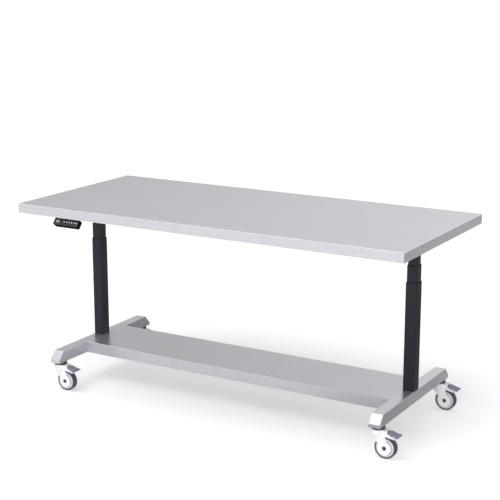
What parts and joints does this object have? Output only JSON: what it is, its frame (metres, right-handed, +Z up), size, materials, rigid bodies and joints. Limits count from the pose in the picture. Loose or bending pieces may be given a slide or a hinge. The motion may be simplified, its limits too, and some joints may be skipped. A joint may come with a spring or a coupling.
{
  "type": "height-adjustable instrument table",
  "caption": "Stainless instrument table with a boxed worktop on two telescopic electric columns, a lower shelf, a handset and braked swivel casters.",
  "frame": {"origin": "on the floor under the middle of the worktop", "axes": "+X along the table's length, -Y to the front where the handset is, +Z up"},
  "size_m": [1.829, 0.813, 0.857],
  "materials": {
    "stainless": "brushed stainless steel",
    "core_board": "raw board",
    "frame_paint": "satin black powder coat",
    "column_paint": "satin anthracite powder coat",
    "plated_steel": "zinc plated",
    "dark_steel": "blackened steel",
    "motor_metal": "cast, as machined",
    "glide_plastic": "natural acetal",
    "black_plastic": "fine moulded texture",
    "inlet_plastic": "smooth",
    "display_window": "gloss lens",
    "button_plastic": "satin",
    "lead_jacket": "satin jacket",
    "white_plastic": "semi-gloss moulded nylon",
    "rim_plastic": "semi-gloss pale blue-grey nylon",
    "tread_rubber": "grey thermoplastic rubber",
    "grey_plastic": "fine moulded texture"
  },
  "bodies": {
    "base": {"lower_shelf": "stainless", "shelf_stiffeners": "stainless", "foot_arm_left": "stainless", "foot_arm_right": "stainless", "base_screws": "plated_steel", "outer_tube_left": "column_paint", "outer_tube_right": "column_paint", "outer_glides": "glide_plastic", "lift_nut_tubes": "plated_steel", "caster_collars": "grey_plastic", "caster_stems": "plated_steel"},
    "top": {"table_top_pan": "stainless", "top_core": "core_board", "end_brackets": "frame_paint", "support_rails": "frame_paint", "top_screws": "plated_steel", "inner_tube_left": "column_paint", "inner_tube_right": "column_paint", "gearmotors": "motor_metal", "control_box": "black_plastic", "power_inlet": "inlet_plastic", "handset_housing": "black_plastic", "handset_window": "display_window", "handset_lead": "lead_jacket", "motor_leads": "lead_jacket", "cable_clips": "black_plastic"},
    "middle_left": {"middle_tube_left": "column_paint", "middle_glides_left": "glide_plastic", "hollow_screw_left": "plated_steel"},
    "spindle_left": {"drive_spindle_left": "plated_steel"},
    "middle_right": {"middle_tube_right": "column_paint", "middle_glides_right": "glide_plastic", "hollow_screw_right": "plated_steel"},
    "spindle_right": {"drive_spindle_right": "plated_steel"},
    "caster_front_left": {"fork_housing_front_left": "white_plastic", "wheel_axle_front_left": "dark_steel"},
    "wheel_front_left": {"wheel_rim_front_left": "rim_plastic", "wheel_tread_front_left": "tread_rubber"},
    "pedal_front_left": {"brake_pedal_front_left": "grey_plastic"},
    "caster_front_right": {"fork_housing_front_right": "white_plastic", "wheel_axle_front_right": "dark_steel"},
    "wheel_front_right": {"wheel_rim_front_right": "rim_plastic", "wheel_tread_front_right": "tread_rubber"},
    "pedal_front_right": {"brake_pedal_front_right": "grey_plastic"},
    "caster_rear_left": {"fork_housing_rear_left": "white_plastic", "wheel_axle_rear_left": "dark_steel"},
    "wheel_rear_left": {"wheel_rim_rear_left": "rim_plastic", "wheel_tread_rear_left": "tread_rubber"},
    "pedal_rear_left": {"brake_pedal_rear_left": "grey_plastic"},
    "caster_rear_right": {"fork_housing_rear_right": "white_plastic", "wheel_axle_rear_right": "dark_steel"},
    "wheel_rear_right": {"wheel_rim_rear_right": "rim_plastic", "wheel_tread_rear_right": "tread_rubber"},
    "pedal_rear_right": {"brake_pedal_rear_right": "grey_plastic"},
    "button_1": {"handset_button_1": "button_plastic"},
    "button_2": {"handset_button_2": "button_plastic"},
    "button_3": {"handset_button_3": "button_plastic"},
    "button_4": {"handset_button_4": "button_plastic"},
    "button_5": {"handset_button_5": "button_plastic"},
    "button_6": {"handset_button_6": "button_plastic"}
  },
  "joints": [
    {"name": "top_lift", "type": "slide", "parent": "base", "child": "top", "axis": [0, 0, 1], "range_m": [-0.13, 0.5]},
    {"name": "middle_lift_left", "type": "slide", "parent": "base", "child": "middle_left", "axis": [0, 0, 1], "range_m": [-0.065, 0.25]},
    {"name": "spindle_spin_left", "type": "hinge", "parent": "top", "child": "spindle_left", "pos_m": [-0.785, 0, 0.5], "axis": [0, 0, 1], "range_deg": [-2926, 11251]},
    {"name": "middle_lift_right", "type": "slide", "parent": "base", "child": "middle_right", "axis": [0, 0, 1], "range_m": [-0.065, 0.25]},
    {"name": "spindle_spin_right", "type": "hinge", "parent": "top", "child": "spindle_right", "pos_m": [0.785, 0, 0.5], "axis": [0, 0, 1], "range_deg": [-2926, 11251]},
    {"name": "caster_swivel_front_left", "type": "hinge", "parent": "base", "child": "caster_front_left", "pos_m": [-0.785, -0.312, 0.1], "axis": [0, 0, 1], "continuous": true},
    {"name": "wheel_spin_front_left", "type": "hinge", "parent": "caster_front_left", "child": "wheel_front_left", "pos_m": [-0.75, -0.312, 0.045], "axis": [0, 1, 0], "continuous": true},
    {"name": "brake_press_front_left", "type": "hinge", "parent": "caster_front_left", "child": "pedal_front_left", "pos_m": [-0.745, -0.312, 0.1061], "axis": [0, 1, 0], "range_deg": [0, 8]},
    {"name": "caster_swivel_front_right", "type": "hinge", "parent": "base", "child": "caster_front_right", "pos_m": [0.785, -0.312, 0.1], "axis": [0, 0, 1], "continuous": true},
    {"name": "wheel_spin_front_right", "type": "hinge", "parent": "caster_front_right", "child": "wheel_front_right", "pos_m": [0.82, -0.312, 0.045], "axis": [0, 1, 0], "continuous": true},
    {"name": "brake_press_front_right", "type": "hinge", "parent": "caster_front_right", "child": "pedal_front_right", "pos_m": [0.825, -0.312, 0.1061], "axis": [0, 1, 0], "range_deg": [0, 8]},
    {"name": "caster_swivel_rear_left", "type": "hinge", "parent": "base", "child": "caster_rear_left", "pos_m": [-0.785, 0.312, 0.1], "axis": [0, 0, 1], "continuous": true},
    {"name": "wheel_spin_rear_left", "type": "hinge", "parent": "caster_rear_left", "child": "wheel_rear_left", "pos_m": [-0.75, 0.312, 0.045], "axis": [0, 1, 0], "continuous": true},
    {"name": "brake_press_rear_left", "type": "hinge", "parent": "caster_rear_left", "child": "pedal_rear_left", "pos_m": [-0.745, 0.312, 0.1061], "axis": [0, 1, 0], "range_deg": [0, 8]},
    {"name": "caster_swivel_rear_right", "type": "hinge", "parent": "base", "child": "caster_rear_right", "pos_m": [0.785, 0.312, 0.1], "axis": [0, 0, 1], "continuous": true},
    {"name": "wheel_spin_rear_right", "type": "hinge", "parent": "caster_rear_right", "child": "wheel_rear_right", "pos_m": [0.82, 0.312, 0.045], "axis": [0, 1, 0], "continuous": true},
    {"name": "brake_press_rear_right", "type": "hinge", "parent": "caster_rear_right", "child": "pedal_rear_right", "pos_m": [0.825, 0.312, 0.1061], "axis": [0, 1, 0], "range_deg": [0, 8]},
    {"name": "button_press_1", "type": "slide", "parent": "top", "child": "button_1", "axis": [0, 0.766, -0.6428], "range_m": [0, 0.0008], "stiffness_N_per_m": 300, "springref_m": -0.0005},
    {"name": "button_press_2", "type": "slide", "parent": "top", "child": "button_2", "axis": [0, 0.766, -0.6428], "range_m": [0, 0.0008], "stiffness_N_per_m": 300, "springref_m": -0.0005},
    {"name": "button_press_3", "type": "slide", "parent": "top", "child": "button_3", "axis": [0, 0.766, -0.6428], "range_m": [0, 0.0008], "stiffness_N_per_m": 300, "springref_m": -0.0005},
    {"name": "button_press_4", "type": "slide", "parent": "top", "child": "button_4", "axis": [0, 0.766, -0.6428], "range_m": [0, 0.0008], "stiffness_N_per_m": 300, "springref_m": -0.0005},
    {"name": "button_press_5", "type": "slide", "parent": "top", "child": "button_5", "axis": [0, 0.766, -0.6428], "range_m": [0, 0.0008], "stiffness_N_per_m": 300, "springref_m": -0.0005},
    {"name": "button_press_6", "type": "slide", "parent": "top", "child": "button_6", "axis": [0, 0.766, -0.6428], "range_m": [0, 0.0008], "stiffness_N_per_m": 300, "springref_m": -0.0005}
  ],
  "couplings": [
    {"joint": "middle_lift_left", "follows": "top_lift", "ratio": 0.5},
    {"joint": "spindle_spin_left", "follows": "top_lift", "rad_per_m": 392.7},
    {"joint": "middle_lift_right", "follows": "top_lift", "ratio": 0.5},
    {"joint": "spindle_spin_right", "follows": "top_lift", "rad_per_m": 392.7}
  ]
}
